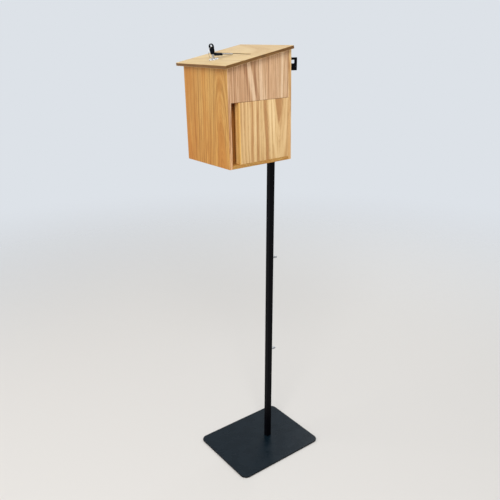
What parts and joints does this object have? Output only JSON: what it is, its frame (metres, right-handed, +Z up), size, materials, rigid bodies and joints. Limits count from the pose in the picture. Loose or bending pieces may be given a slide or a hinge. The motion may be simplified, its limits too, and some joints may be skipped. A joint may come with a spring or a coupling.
{
  "type": "ballot box on a floor stand",
  "caption": "Locking oak ballot box with a sloping lid, a paper slot and a side card pocket, hung on a square steel pole with a flat base plate.",
  "frame": {"origin": "middle of the base plate's underside, on the floor", "axes": "+X to the box's right side, which has the card pocket, +Y to the rear, where the pole and the hinges are, +Z up"},
  "size_m": [0.265, 0.3818, 1.3567],
  "materials": {
    "oak": "clear satin lacquer over oak veneer",
    "lid_oak": "clear satin lacquer, pale oak",
    "inner_wood": "plain thin board",
    "black_paint": "black satin powder coat",
    "plate_paint": "black satin powder coat",
    "zinc_steel": "bright zinc plating",
    "chrome": "polished",
    "key_steel": "nickel plated",
    "key_plastic": "moulded, semi-gloss",
    "rubber": "matt",
    "felt": "pressed felt"
  },
  "bodies": {
    "stand_and_box": {"base_plate": "plate_paint", "foot_bolt": "zinc_steel", "foot_plug": "zinc_steel", "pole_lower": "black_paint", "pole_lower_middle": "black_paint", "pole_upper_middle": "black_paint", "pole_top": "black_paint", "pole_sleeves": "zinc_steel", "thumb_screws": "zinc_steel", "crossbar": "black_paint", "hook_left": "black_paint", "hook_right": "black_paint", "front_board": "oak", "back_board": "oak", "left_side_board": "oak", "right_upper_board": "oak", "bottom_board": "oak", "pocket_panel": "oak", "pocket_batten": "oak", "pocket_partition": "inner_wood", "pocket_roof": "inner_wood", "hanger_left": "zinc_steel", "hanger_right": "zinc_steel", "hanger_screws": "zinc_steel", "rear_bumper": "rubber", "felt_pads": "felt", "strike_plate": "zinc_steel", "strike_screws": "zinc_steel", "hinge_body_leaves": "zinc_steel", "hinge_pins": "zinc_steel", "hinge_body_screws": "zinc_steel"},
    "lid": {"lid_board": "lid_oak", "hinge_lid_leaves": "zinc_steel", "hinge_lid_screws": "zinc_steel", "lock_body": "chrome", "lock_nut": "zinc_steel"},
    "lock_plug": {"lock_plug": "chrome", "cam_arm": "zinc_steel", "cam_screw": "zinc_steel"},
    "key": {"key_blade": "key_steel", "key_head": "key_plastic"},
    "key_ring": {"key_ring": "key_steel"},
    "spare_key": {"spare_key_blade": "key_steel", "spare_key_head": "key_plastic"}
  },
  "joints": [
    {"name": "lid_hinge", "type": "hinge", "parent": "stand_and_box", "child": "lid", "pos_m": [0, 0.02071, 1.34447], "axis": [-1, 0, 0], "range_deg": [0, 104]},
    {"name": "lock_turn", "type": "hinge", "parent": "lid", "child": "lock_plug", "pos_m": [0, -0.16716, 1.31494], "axis": [0, -0.2045, 0.9789], "range_deg": [-24, 66]},
    {"name": "key_pull", "type": "slide", "parent": "lock_plug", "child": "key", "axis": [0, -0.2045, 0.9789], "range_m": [0, 0.022]},
    {"name": "key_ring_turn", "type": "hinge", "parent": "key", "child": "key_ring", "pos_m": [-0.00234, -0.17214, 1.3337], "axis": [0.9035, 0.424, -0.0624], "range_deg": [0, 40]},
    {"name": "spare_key_swing", "type": "hinge", "parent": "key_ring", "child": "spare_key", "pos_m": [-0.00837, -0.15834, 1.32927], "axis": [0.32, -0.1019, 0.9419], "range_deg": [0, 40]}
  ]
}
